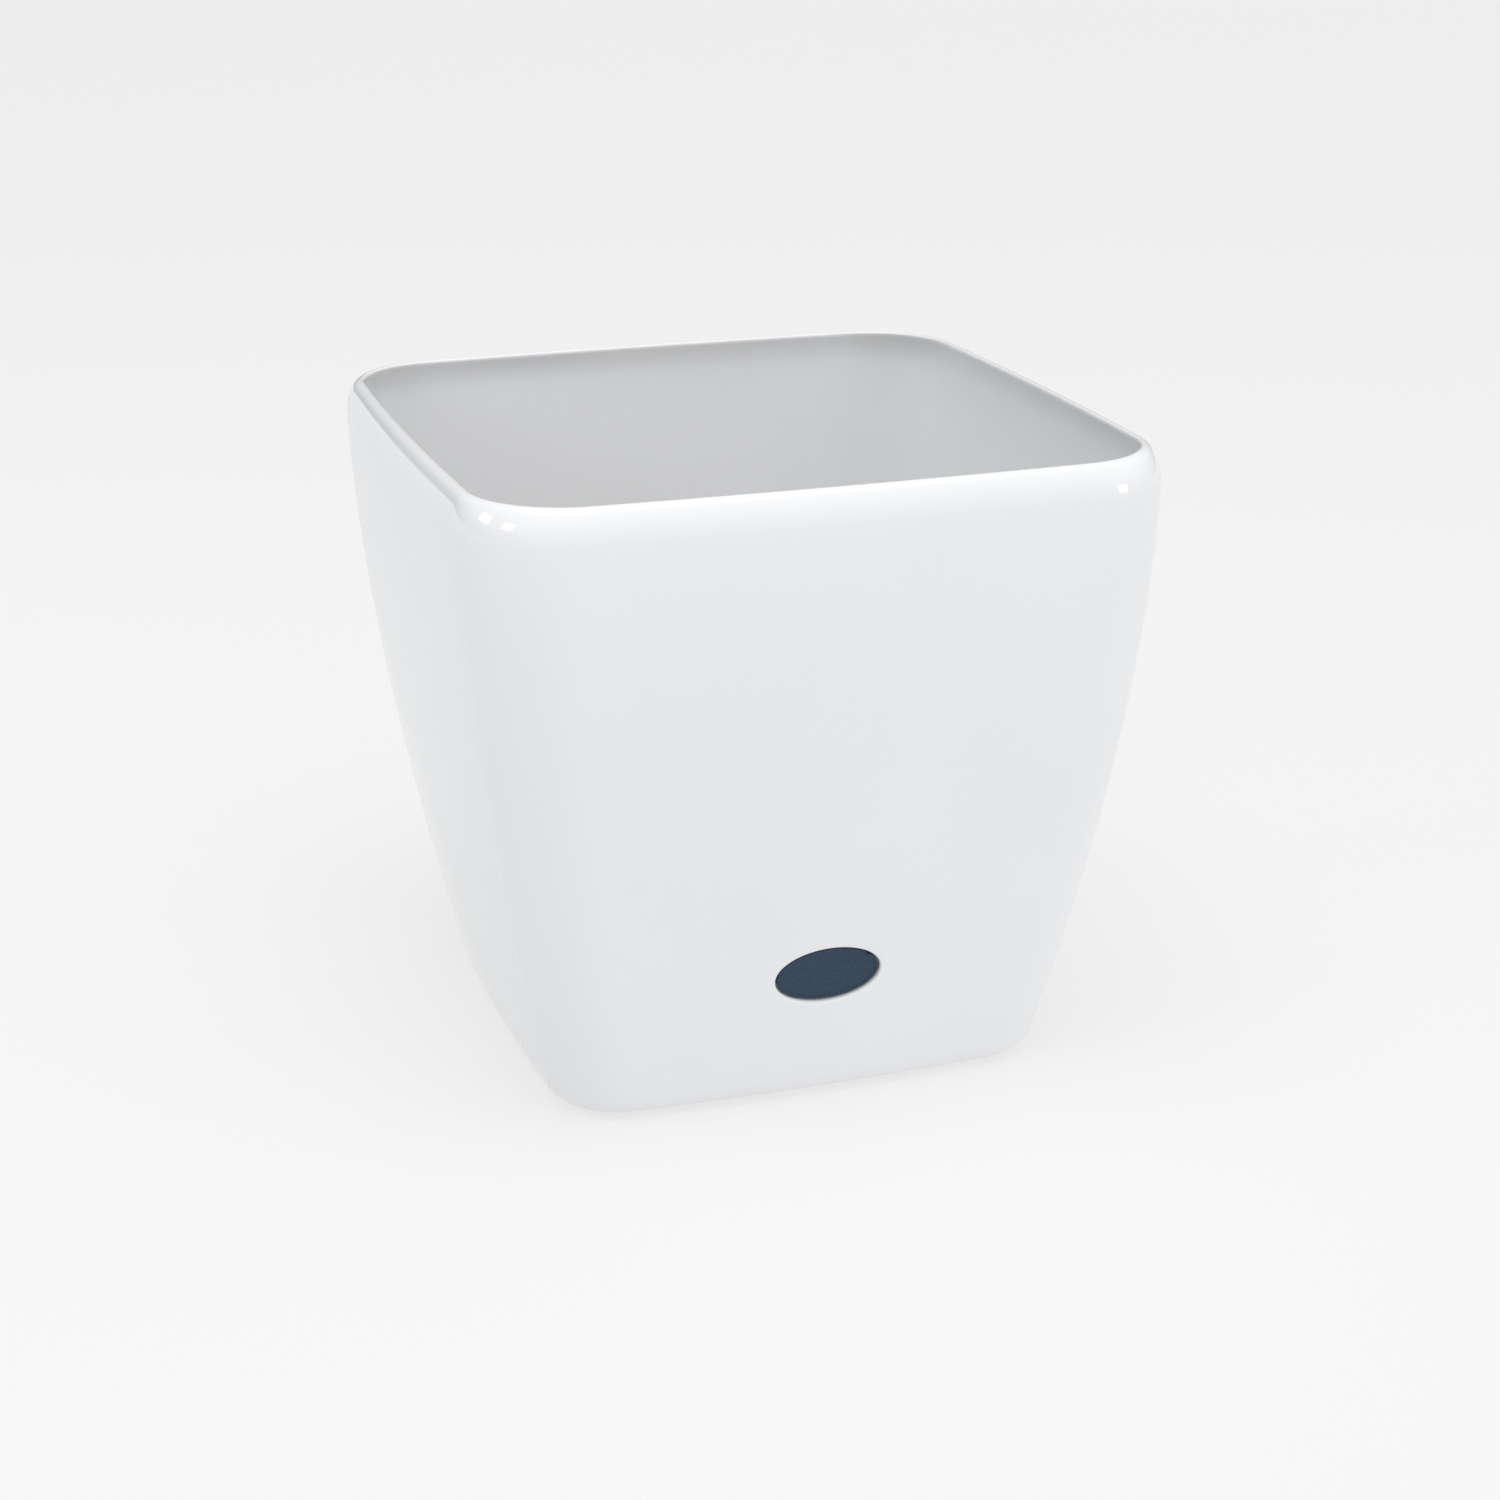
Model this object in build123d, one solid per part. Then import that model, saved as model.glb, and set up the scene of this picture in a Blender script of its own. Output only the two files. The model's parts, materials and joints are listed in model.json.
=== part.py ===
from build123d import *
import math
import os

# Self-watering planter: a gloss pot, an overflow plug, and a watering insert that stands inside the pot.
# Millimetres, +Z up, origin at the centre of the base on the resting plane, front of the pot towards -Y.

# ---- pot: driving dimensions ----
POT_WIDTH = 200.0            # widest outside width, just under the rim
POT_HEIGHT = 184.3           # rim above the resting plane
BASE_WIDTH = 148.6           # outside width where the wall would meet the base, before its rounding
WALL = 3.0
SIDE_POWER = 1.66            # how the side bows out: 1 is a straight taper
SHOULDER_Z = 174.5           # height of the widest point
SHOULDER_R = 18.0            # the wall rolls in above the widest point with this radius
TOP_CORNER_R = 28.5          # corner radius in plan at the rim
BASE_CORNER_R = 20.5         # corner radius in plan at the base
TOP_SIDE_R = 1780.0          # the four sides bow slightly outwards in plan
BASE_SIDE_R = 860.0
LIP_ROUND = 1.15
BASE_ROUND = 6.0
FLOOR_ROUND = 4.0            # inside, where the wall meets the floor

LOFT_LEVELS = (26.0, 60.0, 95.0, 130.0, 158.0)
UPPER_LEVEL = 179.5          # between the shoulder and the rim

PAD_DROP = 0.8               # how far the foot pads stand out below the pot
FLOOR_TOP = 4.8
FLOOR_THICK = 3.0
FOOT_RING_WIDTH = 5.5
POT_BOTTOM = PAD_DROP
RECESS_TOP = FLOOR_TOP - FLOOR_THICK

PAD_R = 7.5
PAD_THICK = 2.6
PAD_XY = 49.0
PAD_PLAY = 0.05              # the pads are pressed into their sockets

# ---- overflow plug, an oval set square to the front wall ----
PLUG_Z = 41.6
PLUG_HALF_W = 15.0
PLUG_HALF_H = 8.35
PLUG_GAP = 0.55              # shadow gap between plug and seat
PLUG_SUNK = 0.9              # the plug's face lies this deep in its seat
PLUG_HEAD = 1.5
SEAL_THICK = 0.5
HOLE_HALF_W = 12.6
HOLE_HALF_H = 5.95
BOSS_DEPTH = 6.2             # from the outer wall face to the boss's inner face
BOSS_MARGIN = 1.8
STEM_PLAY = 0.3
STEM_WALL = 1.4
STEM_DEPTH = 8.6
PLUG_RIM = 0.8               # raised edge round the head
PLUG_DISH = 0.25             # the face inside the edge is this much lower
BEAD_OUT = 0.15              # grip bead near the end of the stem
BEAD_WIDE = 1.0
BEAD_BACK = 0.8
NICK_ANGLE = 38.0            # where the nick in the edge is, from the right
NICK_R = 0.8

# ---- watering insert ----
PLATE_Z = 54.0
PLATE_THICK = 2.0
TRAY_PLAY = 0.8              # gap between the tray's rim and the pot
TRAY_RIM_TOP = 62.0
TRAY_RIM_THICK = 1.8
DRAIN_HOLE_R = 1.7
DRAIN_PITCH = 13.0
DRAIN_COUNT = 11             # drain holes in a row across the tray

LEG_XY = 52.0
LEG_R = 8.0
LEG_WEB = 2.2
LEG_FOOT = 2.0
SPIGOT_R = 4.5
SPIGOT_PLAY = 0.05
STAND_GAP = 0.05             # the legs stand this little above the floor face

CUP_TOP_R = 30.0
CUP_BOTTOM_R = 22.0
CUP_BOTTOM_Z = 10.0
CUP_WALL = 1.8
CUP_FLANGE_R = 34.0
CUP_FLANGE_THICK = 2.0
CUP_PLAY = 0.8
CUP_SLOTS = 12
CUP_SLOT_W = 3.0
CUP_SLOT_Z = (15.0, 43.0)

# ---- supply shaft and level gauge, side by side in the front left corner ----
SHAFT_Y = -53.0
FILL_X = -52.0
GAUGE_X = -24.0
FILL_R = 11.0
FILL_BORE_R = 9.5
STOP_RING = 2.0              # ring on each tube that rests on the tray
TUBE_PLAY = 0.15
FILL_SLOT_W = 7.0
FILL_SLOT_H = 12.0
GAUGE_R = 6.0
GAUGE_BORE_R = 4.7

HEAD_Z = (126.0, 146.0)
HEAD_FILL_R = 15.0
HEAD_GAUGE_R = 10.0
THROAT_R = 9.0
THROAT_CHAMFER = 1.5
FILL_SOCKET_TOP = 136.0
GAUGE_SOCKET_TOP = 133.0
SIGHT_SEAT_Z = 136.0
ROD_HOLE_R = 1.9

HINGE_Z = 149.0
HINGE_X = FILL_X - 15.5
HINGE_R = 2.6
PIN_R = 1.2
PIN_PLAY = 0.06
EAR_INNER = 5.0              # from the middle of the hinge to an ear's inner face
EAR_OUTER = 8.0
KNUCKLE_HALF = 4.6
LID_R = 13.5
LID_Z = (146.3, 148.5)
LID_RING_R = 8.4
LID_RING_WALL = 1.4
LID_RING_DROP = 3.5
LID_TAB = (4.0, 8.0, 1.6)    # length, width, thickness

CAGE_R = 12.5
CAGE_WALL = 1.5
CAGE_BOTTOM = 8.6
CAGE_BASE = 1.6
CAGE_FLANGE_R = 13.5
CAGE_FLANGE = 2.0
CAGE_SLOTS = 6
CAGE_SLOT_W = 6.0
CAGE_SLOT_Z = (14.0, 46.0)
TUBE_END_Z = 50.0            # the gauge tube ends here, inside the cage

FLOAT_R = 10.2
FLOAT_Z = (10.5, 26.5)
ROD_R = 1.5
ROD_PLAY = 0.03
ROD_BOTTOM = 14.5
TIP_R = 4.0
TIP_BOTTOM = 138.5
TIP_STRAIGHT = 3.0
ROD_TOP = TIP_BOTTOM + 3.5

SIGHT_R = 6.5
SIGHT_WALL = 1.3
SIGHT_BOTTOM = 136.2
SIGHT_TOP = 166.0
SIGHT_FLANGE_R = 8.5
SIGHT_FLANGE = 1.4
SIGHT_PLAY = 0.05
SCALE_INNER_R = 4.5
SCALE_OUTER_R = 5.1
SCALE_Z = (138.0, 158.0)
SCALE_SPAN = 150.0           # degrees round the back of the sight cap


def half_width(z):
    """Outside half width of the pot at height z."""
    full = POT_WIDTH / 2
    if z <= SHOULDER_Z:
        return full - (full - BASE_WIDTH / 2) * (1 - z / SHOULDER_Z) ** SIDE_POWER
    rise = z - SHOULDER_Z
    return full - (SHOULDER_R - math.sqrt(SHOULDER_R**2 - rise**2))


def blend_up(low, high, z):
    """A size that grows evenly from low at the base to high at the rim."""
    return low + (high - low) * z / POT_HEIGHT


def bowed_square(z, inset=0.0):
    """Face across the pot at height z: four slightly bowed sides joined by tangent corner arcs."""
    half = half_width(z) - inset
    corner = blend_up(BASE_CORNER_R, TOP_CORNER_R, z) - inset
    side = 1 / blend_up(1 / BASE_SIDE_R, 1 / TOP_SIDE_R, z) - inset
    back = side - half                       # the side arc's centre lies this far behind the axis
    # the corner arc's centre (c, c) lies side - corner from the side arc's centre, so the arcs are tangent
    c = (-back + math.sqrt(2 * (side - corner) ** 2 - back**2)) / 2
    turn = math.degrees(math.atan2(c, c + back))
    edges = []
    for quarter in range(4):
        spin = Rot(0, 0, 90 * quarter)
        edges.append(spin * CenterArc((-back, 0), side, -turn, 2 * turn))
        edges.append(spin * CenterArc((c, c), corner, turn, 90 - 2 * turn))
    return Pos(0, 0, z) * make_face(edges)


def pot_volume(levels, inset=0.0):
    """Solid with the pot's outline, lofted smoothly through the given heights."""
    return loft([bowed_square(z, inset) for z in levels])


def ring(outer, inner, low, high, x=0.0, y=0.0):
    """Upright tube between two heights."""
    tall = high - low
    flat = Circle(outer) - Circle(inner)
    return Pos(x, y, low) * extrude(flat, tall)


def rod(radius, low, high, x=0.0, y=0.0):
    """Upright round bar between two heights."""
    return Pos(x, y, low) * extrude(Circle(radius), high - low)


def wall_frame():
    """Plane on the outer wall at the overflow, x to the right, y up the wall, z outwards."""
    step = 0.5
    lean = math.atan((half_width(PLUG_Z + step) - half_width(PLUG_Z - step)) / (2 * step))
    outward = (0, -math.cos(lean), -math.sin(lean))
    return Plane(origin=(0, -half_width(PLUG_Z), PLUG_Z), x_dir=(1, 0, 0), z_dir=outward)


def oval(half_w, half_h, near, far):
    """Oval prism square to the front wall, between two distances from the wall face (outwards positive)."""
    return wall_frame().location * Pos(0, 0, near) * extrude(Ellipse(half_w, half_h), far - near)


SEAT_FLOOR = -(PLUG_SUNK + PLUG_HEAD + SEAL_THICK)


def leg_places():
    """The three corners that hold a support leg: the fourth holds the supply shaft."""
    return {"front_right": (LEG_XY, -LEG_XY), "back_left": (-LEG_XY, LEG_XY), "back_right": (LEG_XY, LEG_XY)}


def pad_places():
    return {
        "front_left": (-PAD_XY, -PAD_XY),
        "front_right": (PAD_XY, -PAD_XY),
        "back_left": (-PAD_XY, PAD_XY),
        "back_right": (PAD_XY, PAD_XY),
    }


def outer_pot():
    body_levels = [POT_BOTTOM, *LOFT_LEVELS, SHOULDER_Z, UPPER_LEVEL, POT_HEIGHT]
    shell = pot_volume(body_levels)
    shell = fillet(shell.faces().sort_by(Axis.Z)[0].edges(), BASE_ROUND)

    room_levels = [FLOOR_TOP] + body_levels[1:-1] + [POT_HEIGHT + 0.5]
    room = pot_volume(room_levels, WALL)
    room = fillet(room.faces().sort_by(Axis.Z)[0].edges(), FLOOR_ROUND)
    shell -= room
    shell = fillet(shell.faces().sort_by(Axis.Z)[-1].edges(), LIP_ROUND)

    # foot ring: the underside is hollowed inside it, and the pads are let into the hollow's ceiling
    hollow_face = Pos(0, 0, -1) * bowed_square(POT_BOTTOM, BASE_ROUND + FOOT_RING_WIDTH)
    shell -= extrude(hollow_face, RECESS_TOP - POT_BOTTOM + 1)
    for x, y in pad_places().values():
        shell -= rod(PAD_R + PAD_PLAY, POT_BOTTOM, PAD_THICK, x, y)

    # overflow seat: a boss inside, a sunk oval outside and the hole through both
    boss = oval(PLUG_HALF_W + BOSS_MARGIN, PLUG_HALF_H + BOSS_MARGIN, -BOSS_DEPTH, -WALL / 2)
    boss_edge = boss.faces().sort_by(Axis.Y)[-1].edges()
    shell += fillet(boss_edge, 0.8)
    shell -= oval(PLUG_HALF_W + PLUG_GAP, PLUG_HALF_H + PLUG_GAP, SEAT_FLOOR, 4)
    shell -= oval(HOLE_HALF_W, HOLE_HALF_H, -BOSS_DEPTH - 4, 1)
    return shell


def foot_pad(x, y):
    pad = rod(PAD_R, 0, PAD_THICK, x, y)
    return fillet(pad.faces().sort_by(Axis.Z)[0].edges(), 0.5)


def overflow_plug():
    face = -PLUG_SUNK
    back = face - PLUG_HEAD
    plug = oval(PLUG_HALF_W, PLUG_HALF_H, back, face)
    plug -= oval(PLUG_HALF_W - PLUG_RIM, PLUG_HALF_H - PLUG_RIM, face - PLUG_DISH, face + 1)
    stem_w = HOLE_HALF_W - STEM_PLAY
    stem_h = HOLE_HALF_H - STEM_PLAY
    plug += oval(stem_w, stem_h, -STEM_DEPTH, back)
    plug -= oval(stem_w - STEM_WALL, stem_h - STEM_WALL, -STEM_DEPTH - 1, back - 0.4)
    # grip bead round the end of the stem, and a nick in the rim to lift the plug by
    bead_low = BEAD_BACK - STEM_DEPTH
    bead = oval(stem_w + BEAD_OUT, stem_h + BEAD_OUT, bead_low, bead_low + BEAD_WIDE)
    bead -= oval(stem_w - 0.3, stem_h - 0.3, -STEM_DEPTH, -STEM_DEPTH + 3)
    plug += bead
    nick_x = PLUG_HALF_W * math.cos(math.radians(NICK_ANGLE))
    nick_y = PLUG_HALF_H * math.sin(math.radians(NICK_ANGLE))
    plug -= wall_frame().location * Pos(nick_x + 0.3, nick_y + 0.3, back + 0.7) * extrude(Circle(NICK_R), 2)
    return plug


def plug_seal():
    low = SEAT_FLOOR
    high = SEAT_FLOOR + SEAL_THICK
    margin = 0.2
    seal = oval(PLUG_HALF_W - margin, PLUG_HALF_H - margin, low, high)
    return seal - oval(HOLE_HALF_W + margin, HOLE_HALF_H + margin, low - 1, high + 1)


def tray_section(z, inset=0.0):
    return bowed_square(z, WALL + TRAY_PLAY + inset)


def separator_tray():
    top = PLATE_Z + PLATE_THICK
    plate = extrude(tray_section(PLATE_Z), PLATE_THICK)
    lip = loft([tray_section(PLATE_Z), tray_section(TRAY_RIM_TOP)])
    hair = 0.01
    inside = [tray_section(z + hair, TRAY_RIM_THICK) for z in (PLATE_Z, TRAY_RIM_TOP)]
    lip -= loft(inside)
    tray = plate + lip
    tray = fillet(tray.faces().sort_by(Axis.Z)[-1].edges(), 0.7)

    tray -= rod(CUP_TOP_R + CUP_PLAY, PLATE_Z - 1, top + 1)
    for x, radius in ((FILL_X, FILL_R), (GAUGE_X, GAUGE_R)):
        tray -= rod(radius + TUBE_PLAY, PLATE_Z - 1, top + 1, x, SHAFT_Y)

    # low ribs on the top face, from the cup's opening to the rim
    reach = half_width(PLATE_Z) - WALL - TRAY_PLAY - 1
    start = CUP_FLANGE_R + 2
    for k in range(4):
        rib = Pos((start + reach) / 2, 0, top + 1.0) * Box(reach - start, 2.0, 3.0)
        tray += Rot(0, 0, 90 * k) * rib

    for x, y in leg_places().values():
        tray -= rod(SPIGOT_R + SPIGOT_PLAY, PLATE_Z - 1, top + 1, x, y)
    holes = [rod(DRAIN_HOLE_R, PLATE_Z - 1, top + 4, x, y) for x, y in drain_places()]
    return tray - Compound(children=holes)


def drain_places():
    """Grid of drain holes, less those that would meet another feature of the tray."""
    span = DRAIN_PITCH * (DRAIN_COUNT - 1) / 2
    steps = [k * DRAIN_PITCH - span for k in range(DRAIN_COUNT)]
    keep_clear = [(0, 0, CUP_FLANGE_R), (FILL_X, SHAFT_Y, FILL_R + 4), (GAUGE_X, SHAFT_Y, CAGE_FLANGE_R + 1)]
    keep_clear += [(x, y, LEG_R + 1) for x, y in leg_places().values()]
    places = []
    for x in steps:
        for y in steps:
            on_rib = min(abs(x), abs(y)) < 1.0 + DRAIN_HOLE_R
            blocked = any(math.hypot(x - a, y - b) < r + DRAIN_HOLE_R for a, b, r in keep_clear)
            in_corner = abs(x) > span - 1 and abs(y) > span - 1
            if not (on_rib or blocked or in_corner):
                places.append((x, y))
    return places


def support_leg(x, y):
    low = FLOOR_TOP + STAND_GAP
    leg = rod(LEG_R, low, low + LEG_FOOT, x, y)
    tall = PLATE_Z - low
    for angle in (0, 90):
        web = Box(2 * LEG_R - 1, LEG_WEB, tall)
        leg += Pos(x, y, low + tall / 2) * Rot(0, 0, angle + 45) * web
    leg += rod(LEG_R, PLATE_Z - LEG_FOOT, PLATE_Z, x, y)
    leg += rod(SPIGOT_R, PLATE_Z - 0.5, PLATE_Z + PLATE_THICK + 1.2, x, y)
    return chamfer(leg.faces().sort_by(Axis.Z)[-1].edges(), 0.8)


def wick_cup():
    top = PLATE_Z + PLATE_THICK
    tall = top - CUP_BOTTOM_Z
    wall = Pos(0, 0, CUP_BOTTOM_Z + tall / 2) * Cone(CUP_BOTTOM_R, CUP_TOP_R, tall)
    cup = wall + rod(CUP_FLANGE_R, top, top + CUP_FLANGE_THICK)
    room_low = CUP_BOTTOM_Z + CUP_WALL
    room_tall = top + CUP_FLANGE_THICK - room_low
    room = Cone(CUP_BOTTOM_R - CUP_WALL, CUP_TOP_R - CUP_WALL, room_tall)
    cup -= Pos(0, 0, room_low + room_tall / 2) * room
    cup = fillet(cup.faces().sort_by(Axis.Z)[-1].edges(), 0.7)
    low, high = CUP_SLOT_Z
    slots = []
    for k in range(CUP_SLOTS):
        slot = Pos(CUP_TOP_R - 5, 0, (low + high) / 2) * Box(24, CUP_SLOT_W, high - low)
        slots.append(Rot(0, 0, 360 / CUP_SLOTS * (k + 0.5)) * slot)
    for radius, count in ((0, 1), (9, 6), (17, 12)):
        for k in range(count):
            hole = rod(1.8, CUP_BOTTOM_Z - 1, CUP_BOTTOM_Z + CUP_WALL + 1, radius)
            slots.append(Rot(0, 0, 360 / count * k) * hole)
    return cup - Compound(children=slots)


def fill_tube():
    low = FLOOR_TOP + STAND_GAP
    tube = ring(FILL_R, FILL_BORE_R, low, FILL_SOCKET_TOP, FILL_X, SHAFT_Y)
    rest = PLATE_Z + PLATE_THICK
    tube += ring(FILL_R + STOP_RING, FILL_R - 0.5, rest, rest + STOP_RING, FILL_X, SHAFT_Y)
    for angle in (45, 135):
        gap = Box(3 * FILL_R, FILL_SLOT_W, 2 * FILL_SLOT_H)
        tube -= Pos(FILL_X, SHAFT_Y, low) * Rot(0, 0, angle) * gap
    return tube


def gauge_tube():
    tube = ring(GAUGE_R, GAUGE_BORE_R, TUBE_END_Z, GAUGE_SOCKET_TOP, GAUGE_X, SHAFT_Y)
    rest = PLATE_Z + PLATE_THICK
    return tube + ring(GAUGE_R + STOP_RING, GAUGE_R - 0.5, rest, rest + STOP_RING, GAUGE_X, SHAFT_Y)


def shaft_head():
    low, high = HEAD_Z
    rounds = [
        Pos(FILL_X, SHAFT_Y) * Circle(HEAD_FILL_R),
        Pos(GAUGE_X, SHAFT_Y) * Circle(HEAD_GAUGE_R),
    ]
    outline = make_hull(rounds[0].edges() + rounds[1].edges())
    head = Pos(0, 0, low) * extrude(outline, high - low)
    head = fillet(head.faces().sort_by(Axis.Z)[-1].edges(), 1.5)
    head = chamfer(head.faces().sort_by(Axis.Z)[0].edges(), 0.6)

    # ears that carry the lid's hinge pin
    for side in (-1, 1):
        y = SHAFT_Y + side * (EAR_INNER + EAR_OUTER) / 2
        thick = EAR_OUTER - EAR_INNER
        drop = HINGE_Z - (high - 10)
        ear = Pos(HINGE_X, y, HINGE_Z - drop / 2) * Box(2 * HINGE_R, thick, drop)
        ear += Pos(HINGE_X, y, HINGE_Z) * Rot(90, 0, 0) * Cylinder(HINGE_R, thick)
        head += ear
    head -= Pos(HINGE_X, SHAFT_Y, HINGE_Z) * Rot(90, 0, 0) * Cylinder(PIN_R + 0.01, 4 * EAR_OUTER)

    # fill side: socket for the tube below, throat and funnel mouth above
    head -= rod(FILL_R + TUBE_PLAY, low - 1, FILL_SOCKET_TOP, FILL_X, SHAFT_Y)
    head -= rod(THROAT_R, low, high + 1, FILL_X, SHAFT_Y)
    mouth = Cone(THROAT_R, THROAT_R + THROAT_CHAMFER + 0.5, THROAT_CHAMFER + 0.5)
    head -= Pos(FILL_X, SHAFT_Y, high - THROAT_CHAMFER + (THROAT_CHAMFER + 0.5) / 2) * mouth

    # gauge side: socket for the tube below, a guide web for the rod, and the sight cap's seat above
    head -= rod(GAUGE_R + TUBE_PLAY, low - 1, GAUGE_SOCKET_TOP, GAUGE_X, SHAFT_Y)
    head -= rod(ROD_HOLE_R, low, high, GAUGE_X, SHAFT_Y)
    head -= rod(SIGHT_R + SIGHT_PLAY, SIGHT_SEAT_Z, high + 1, GAUGE_X, SHAFT_Y)
    return head


def lid_hinge_pin():
    half = EAR_OUTER - 0.2
    pin = Pos(HINGE_X, SHAFT_Y, HINGE_Z) * Rot(90, 0, 0) * Cylinder(PIN_R, 2 * half)
    return chamfer(pin.edges().filter_by(GeomType.CIRCLE), 0.3)


def filler_lid():
    low, high = LID_Z
    lid = rod(LID_R, low, high, FILL_X, SHAFT_Y)
    lid = fillet(lid.faces().sort_by(Axis.Z)[-1].edges(), 0.8)
    lid += ring(LID_RING_R, LID_RING_R - LID_RING_WALL, low - LID_RING_DROP, low + 0.5, FILL_X, SHAFT_Y)
    # tongue and knuckle between the ears, and a finger tab on the far side
    tongue_end = FILL_X - LID_R + 3
    tongue = Box(tongue_end - HINGE_X, 2 * KNUCKLE_HALF, high - low)
    lid += Pos((tongue_end + HINGE_X) / 2, SHAFT_Y, (low + high) / 2) * tongue
    turn = Rot(90, 0, 0)
    lid += Pos(HINGE_X, SHAFT_Y, HINGE_Z) * turn * Cylinder(HINGE_R, 2 * KNUCKLE_HALF)
    lid -= Pos(HINGE_X, SHAFT_Y, HINGE_Z) * turn * Cylinder(PIN_R + PIN_PLAY, 3 * KNUCKLE_HALF)
    length, width, thick = LID_TAB
    tab = Box(length + 2, width, thick)
    tab = fillet(tab.edges().filter_by(Axis.Z).group_by(Axis.X)[-1], 2.5)
    return lid + Pos(FILL_X + LID_R + length / 2 - 1, SHAFT_Y, low + thick / 2) * tab


def float_cage():
    x, y = GAUGE_X, SHAFT_Y
    cage = ring(CAGE_R, CAGE_R - CAGE_WALL, CAGE_BOTTOM, PLATE_Z, x, y)
    cage += rod(CAGE_R, CAGE_BOTTOM, CAGE_BOTTOM + CAGE_BASE, x, y)
    cage += ring(CAGE_FLANGE_R, CAGE_R - CAGE_WALL, PLATE_Z - CAGE_FLANGE, PLATE_Z, x, y)
    low, high = CAGE_SLOT_Z
    cuts = [rod(3.0, CAGE_BOTTOM - 1, CAGE_BOTTOM + CAGE_BASE + 1, x, y)]
    for k in range(CAGE_SLOTS):
        slot = Pos(CAGE_R, 0, (low + high) / 2) * Box(CAGE_R, CAGE_SLOT_W, high - low)
        hole = rod(1.8, CAGE_BOTTOM - 1, CAGE_BOTTOM + CAGE_BASE + 1, 7.0)
        spin = Pos(x, y) * Rot(0, 0, 360 / CAGE_SLOTS * k)
        cuts += [spin * slot, spin * hole]
    return cage - Compound(children=cuts)


def gauge_float():
    low, high = FLOAT_Z
    body = rod(FLOAT_R, low, high, GAUGE_X, SHAFT_Y)
    body = fillet(body.edges().filter_by(GeomType.CIRCLE), 1.5)
    return body - rod(ROD_R + ROD_PLAY, ROD_BOTTOM, high + 1, GAUGE_X, SHAFT_Y)


def gauge_rod():
    return rod(ROD_R, ROD_BOTTOM, ROD_TOP, GAUGE_X, SHAFT_Y)


def gauge_tip():
    centre = TIP_BOTTOM + TIP_STRAIGHT
    tip = rod(TIP_R, TIP_BOTTOM, centre, GAUGE_X, SHAFT_Y)
    tip += Pos(GAUGE_X, SHAFT_Y, centre) * Sphere(TIP_R)
    tip -= rod(2 * TIP_R, TIP_BOTTOM - 5, TIP_BOTTOM, GAUGE_X, SHAFT_Y)
    return tip - rod(ROD_R + ROD_PLAY, TIP_BOTTOM - 1, ROD_TOP, GAUGE_X, SHAFT_Y)


def capsule(radius, low, high):
    """Upright bar with a hemispherical top."""
    centre = high - radius
    return rod(radius, low, centre, GAUGE_X, SHAFT_Y) + Pos(GAUGE_X, SHAFT_Y, centre) * Sphere(radius)


def sight_cap():
    top = HEAD_Z[1]
    cap = capsule(SIGHT_R, SIGHT_BOTTOM, SIGHT_TOP)
    cap += rod(SIGHT_FLANGE_R, top, top + SIGHT_FLANGE, GAUGE_X, SHAFT_Y)
    return cap - capsule(SIGHT_R - SIGHT_WALL, SIGHT_BOTTOM - 1, SIGHT_TOP - SIGHT_WALL)


def scale_strip():
    low, high = SCALE_Z
    start = 90 - SCALE_SPAN / 2
    outer = CenterArc((0, 0), SCALE_OUTER_R, start, SCALE_SPAN)
    inner = CenterArc((0, 0), SCALE_INNER_R, start, SCALE_SPAN)
    ends = [Line(inner @ 0, outer @ 0), Line(inner @ 1, outer @ 1)]
    flat = make_face([outer, inner] + ends)
    return Pos(GAUGE_X, SHAFT_Y, low) * extrude(flat, high - low)


def build():
    parts = {
        "outer_pot": outer_pot(),
        "overflow_plug": overflow_plug(),
        "plug_seal": plug_seal(),
        "separator_tray": separator_tray(),
        "wick_cup": wick_cup(),
        "fill_tube": fill_tube(),
        "shaft_head": shaft_head(),
        "filler_lid": filler_lid(),
        "lid_hinge_pin": lid_hinge_pin(),
        "gauge_tube": gauge_tube(),
        "float_cage": float_cage(),
        "gauge_float": gauge_float(),
        "gauge_rod": gauge_rod(),
        "gauge_tip": gauge_tip(),
        "sight_cap": sight_cap(),
        "scale_strip": scale_strip(),
    }
    for name, (x, y) in pad_places().items():
        parts[f"foot_pad_{name}"] = foot_pad(x, y)
    for name, (x, y) in leg_places().items():
        parts[f"support_leg_{name}"] = support_leg(x, y)
    return parts


if __name__ == "__main__":
    os.makedirs("parts", exist_ok=True)
    for name, shape in build().items():
        export_step(shape, f"parts/{name}.step")
        print(name, "solids", len(shape.solids()), "volume", round(shape.volume, 1))
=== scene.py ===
import json
import math

import bmesh
import bpy
from mathutils import Matrix, Vector


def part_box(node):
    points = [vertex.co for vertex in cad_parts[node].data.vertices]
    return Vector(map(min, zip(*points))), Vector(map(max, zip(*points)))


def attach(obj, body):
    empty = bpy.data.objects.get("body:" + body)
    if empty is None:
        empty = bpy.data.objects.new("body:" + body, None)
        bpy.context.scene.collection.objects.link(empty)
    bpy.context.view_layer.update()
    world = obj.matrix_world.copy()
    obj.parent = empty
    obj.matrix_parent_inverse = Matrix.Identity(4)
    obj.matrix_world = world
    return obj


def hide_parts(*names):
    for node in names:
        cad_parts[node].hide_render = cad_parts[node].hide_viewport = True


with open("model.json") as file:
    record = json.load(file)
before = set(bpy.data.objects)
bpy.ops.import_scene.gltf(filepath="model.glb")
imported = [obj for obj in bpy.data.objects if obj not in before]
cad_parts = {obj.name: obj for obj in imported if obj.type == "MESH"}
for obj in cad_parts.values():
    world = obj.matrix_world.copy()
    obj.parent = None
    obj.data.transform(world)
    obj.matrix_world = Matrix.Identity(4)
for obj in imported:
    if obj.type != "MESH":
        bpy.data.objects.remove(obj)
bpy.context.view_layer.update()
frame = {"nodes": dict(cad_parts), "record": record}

scene = bpy.context.scene
mm = 0.001
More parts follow.
